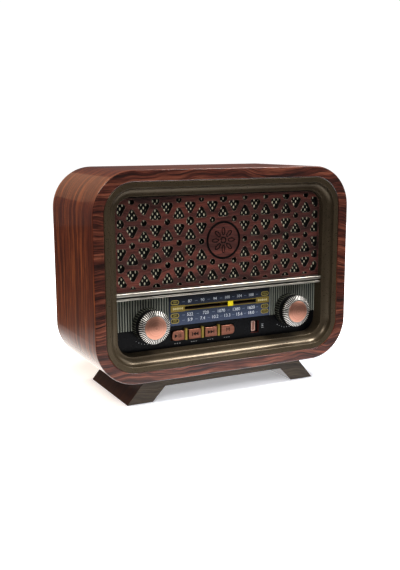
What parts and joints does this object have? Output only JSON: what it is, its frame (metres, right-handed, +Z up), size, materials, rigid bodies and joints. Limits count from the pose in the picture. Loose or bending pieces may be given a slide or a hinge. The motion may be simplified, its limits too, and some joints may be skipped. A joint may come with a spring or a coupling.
{
  "type": "tabletop radio",
  "caption": "Tabletop radio: bent-wood cabinet with rounded corners on a low splayed stand, fretwork grille, cord-driven dial pointer, turning knobs, push buttons and a folding antenna.",
  "frame": {"origin": "centre of the bounding box in X and Y, on the surface that the feet stand on", "axes": "+X to the radio's right-hand side as seen from the front, -Y out of the grille and dial, +Z up"},
  "size_m": [0.26, 0.1212, 0.2088],
  "materials": {
    "walnut_veneer": "open-grain reddish walnut veneer, satin lacquer",
    "walnut_fretwork": "routed walnut-veneered board, satin lacquer",
    "olive_bronze": "satin olive-bronze paint",
    "black_board": "matt black moulding",
    "fascia_black": "gloss black",
    "ribbed_grey": "grey-green metallic paint over ribs",
    "dial_blue": "blue-grey with pale printing",
    "slot_gold": "dull olive-gold paint",
    "pointer_yellow": "bright yellow",
    "satin_bar": "satin polished",
    "knob_black": "matt black, grooved",
    "knob_silver": "bright plated teeth",
    "knob_copper": "spun rose-copper anodised",
    "button_copper": "rose-copper metallic paint",
    "port_rose": "rose plated shell",
    "stand_brown": "dark brown lacquer",
    "pad_rubber": "black rubber",
    "steel": "plain steel",
    "screw_black": "blackened steel",
    "cloth_black": "black loudspeaker cloth with pale woven knots",
    "rear_plastic": "fine-textured dark brown plastic",
    "circuit_green": "soldermask green",
    "component_black": "component plastic",
    "speaker_paper": "pressed paper pulp",
    "speaker_foam": "rubber roll",
    "ferrite": "sintered ferrite",
    "coil_copper": "enamelled copper wire",
    "cell_blue": "sleeved steel can",
    "antenna_chrome": "bright plated",
    "cord_braid": "waxed braided cord",
    "pulley_white": "natural acetal"
  },
  "bodies": {
    "root": {"cabinet_shell": "walnut_veneer", "grille_board": "walnut_fretwork", "front_bezel": "olive_bronze", "front_baffle": "black_board", "grille_cloth": "cloth_black", "upper_trim_bar": "satin_bar", "lower_trim_bar": "satin_bar", "fascia_panel": "fascia_black", "left_ribbed_insert": "ribbed_grey", "right_ribbed_insert": "ribbed_grey", "dial_plate": "dial_blue", "pointer_slot_frame": "slot_gold", "pointer_rail": "steel", "dial_bracket": "steel", "dial_cord": "cord_braid", "tuning_encoder": "component_black", "volume_pot": "steel", "button_comb": "slot_gold", "control_board": "circuit_green", "tact_switches": "component_black", "usb_port": "port_rose", "stand": "stand_brown", "foot_pads": "pad_rubber", "stand_screws": "screw_black", "speaker_frame": "steel", "speaker_surround": "speaker_foam", "speaker_cone": "speaker_paper", "speaker_magnet": "ferrite", "speaker_screws": "screw_black", "rear_cover": "rear_plastic", "rear_screws": "screw_black", "battery_cell": "cell_blue", "battery_contacts": "steel", "main_board": "circuit_green", "aux_jack": "component_black", "band_switch": "component_black", "ferrite_rod": "ferrite", "ferrite_coil": "coil_copper"},
    "volume_knob": {"volume_shaft": "steel", "volume_knob_body": "knob_black", "volume_knob_ring": "knob_silver", "volume_knob_cap": "knob_copper"},
    "tuning_knob": {"tuning_shaft": "steel", "tuning_knob_body": "knob_black", "tuning_knob_ring": "knob_silver", "tuning_knob_cap": "knob_copper"},
    "pointer": {"dial_pointer": "pointer_yellow"},
    "left_idler": {"left_idler_pulley": "pulley_white"},
    "right_idler": {"right_idler_pulley": "pulley_white"},
    "play_key": {"play_button": "button_copper"},
    "previous_key": {"previous_button": "button_copper"},
    "next_key": {"next_button": "button_copper"},
    "mode_key": {"mode_button": "button_copper"},
    "battery_hatch": {"battery_door": "rear_plastic"},
    "band_slider": {"band_switch_slider": "component_black"},
    "antenna_base": {"antenna_swivel": "antenna_chrome", "antenna_hinge_pin": "steel"},
    "antenna_lower": {"antenna_lower_tube": "antenna_chrome"},
    "antenna_middle": {"antenna_middle_tube": "antenna_chrome"},
    "antenna_tip": {"antenna_tip_rod": "antenna_chrome"}
  },
  "joints": [
    {"name": "volume_turn", "type": "hinge", "parent": "root", "child": "volume_knob", "pos_m": [-0.0744, -0.048, 0.0708], "axis": [0, 1, 0], "range_deg": [-150, 150]},
    {"name": "tuning_turn", "type": "hinge", "parent": "root", "child": "tuning_knob", "pos_m": [0.0744, -0.048, 0.0708], "axis": [0, 1, 0], "range_deg": [-400, 229]},
    {"name": "pointer_slide", "type": "slide", "parent": "root", "child": "pointer", "axis": [1, 0, 0], "range_m": [-0.0441, 0.0253]},
    {"name": "left_idler_turn", "type": "hinge", "parent": "root", "child": "left_idler", "pos_m": [-0.058, -0.031, 0.086], "axis": [0, 1, 0], "range_deg": [-549, 315]},
    {"name": "right_idler_turn", "type": "hinge", "parent": "root", "child": "right_idler", "pos_m": [0.058, -0.031, 0.086], "axis": [0, 1, 0], "range_deg": [-549, 315]},
    {"name": "play_press", "type": "slide", "parent": "root", "child": "play_key", "axis": [0, 1, 0], "range_m": [0, 0.0006], "stiffness_N_per_m": 1500},
    {"name": "previous_press", "type": "slide", "parent": "root", "child": "previous_key", "axis": [0, 1, 0], "range_m": [0, 0.0006], "stiffness_N_per_m": 1500},
    {"name": "next_press", "type": "slide", "parent": "root", "child": "next_key", "axis": [0, 1, 0], "range_m": [0, 0.0006], "stiffness_N_per_m": 1500},
    {"name": "mode_press", "type": "slide", "parent": "root", "child": "mode_key", "axis": [0, 1, 0], "range_m": [0, 0.0006], "stiffness_N_per_m": 1500},
    {"name": "battery_door_open", "type": "hinge", "parent": "root", "child": "battery_hatch", "pos_m": [-0.058, 0.0498, 0.0491], "axis": [-1, 0, 0], "range_deg": [0, 75]},
    {"name": "band_slide", "type": "slide", "parent": "root", "child": "band_slider", "axis": [1, 0, 0], "range_m": [-0.003, 0.003]},
    {"name": "antenna_swing", "type": "hinge", "parent": "root", "child": "antenna_base", "pos_m": [0.1, 0.051, 0.1773], "axis": [0, 1, 0], "range_deg": [0, 180]},
    {"name": "antenna_tilt", "type": "hinge", "parent": "antenna_base", "child": "antenna_lower", "pos_m": [0.1, 0.0573, 0.1773], "axis": [0, 0, -1], "range_deg": [0, 90]},
    {"name": "antenna_middle_slide", "type": "slide", "parent": "antenna_lower", "child": "antenna_middle", "axis": [-1, 0, 0], "range_m": [0, 0.12]},
    {"name": "antenna_tip_slide", "type": "slide", "parent": "antenna_middle", "child": "antenna_tip", "axis": [-1, 0, 0], "range_m": [0, 0.115]}
  ],
  "couplings": [
    {"joint": "pointer_slide", "follows": "tuning_turn", "m_per_rad": 0.0063},
    {"joint": "left_idler_turn", "follows": "tuning_turn", "ratio": 1.3696},
    {"joint": "right_idler_turn", "follows": "tuning_turn", "ratio": 1.3696}
  ]
}
